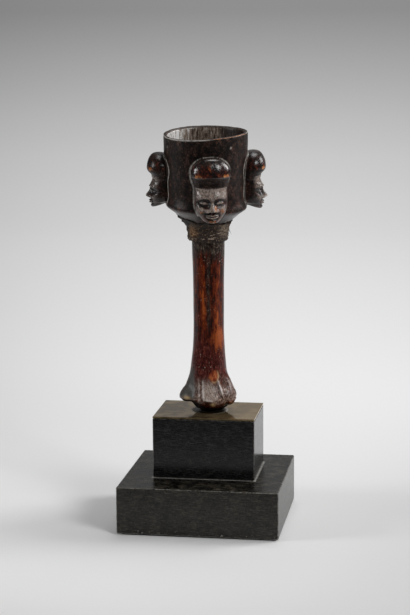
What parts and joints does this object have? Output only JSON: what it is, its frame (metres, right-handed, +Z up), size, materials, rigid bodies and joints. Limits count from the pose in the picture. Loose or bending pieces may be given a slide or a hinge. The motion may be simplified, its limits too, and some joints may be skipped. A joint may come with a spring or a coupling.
{
  "type": "ceremonial cup on display plinth",
  "caption": "Carved dark wood drinking bowl with heads in relief, set on a long-bone stem with a hide collar, lifting off a stepped black display plinth.",
  "frame": {"origin": "on the ground under the middle of the lower block", "axes": "+Z up, -Y is the plinth's front, +X is to the right seen from the front"},
  "size_m": [0.136, 0.124, 0.3355],
  "materials": {
    "carved_wood": "worn gloss",
    "bone": "polished by handling",
    "hide": "dry and crusty",
    "thread": "dry plant thread",
    "resin": "matt",
    "bright_brass": "drawn",
    "zinced_steel": "zinc plated",
    "dark_brass": "dark patina, satin gloss",
    "ebonised_wood": "black, satin",
    "felt": "matt"
  },
  "bodies": {
    "stand": {"lower_block": "ebonised_wood", "upper_block": "ebonised_wood", "top_plate": "dark_brass", "base_felt": "felt", "mount_pin": "bright_brass", "clamp_washer": "zinced_steel", "clamp_nut": "zinced_steel", "block_screw_1": "zinced_steel", "block_screw_2": "zinced_steel", "block_screw_3": "zinced_steel", "block_screw_4": "zinced_steel"},
    "cup": {"carved_cup": "carved_wood", "bone_shaft": "bone", "hide_collar": "hide", "collar_twine": "thread", "tenon_packing": "resin", "pin_socket": "bright_brass"}
  },
  "joints": [
    {"name": "cup_lift", "type": "slide", "parent": "stand", "child": "cup", "axis": [0, 0, 1], "range_m": [0, 0.045]}
  ]
}
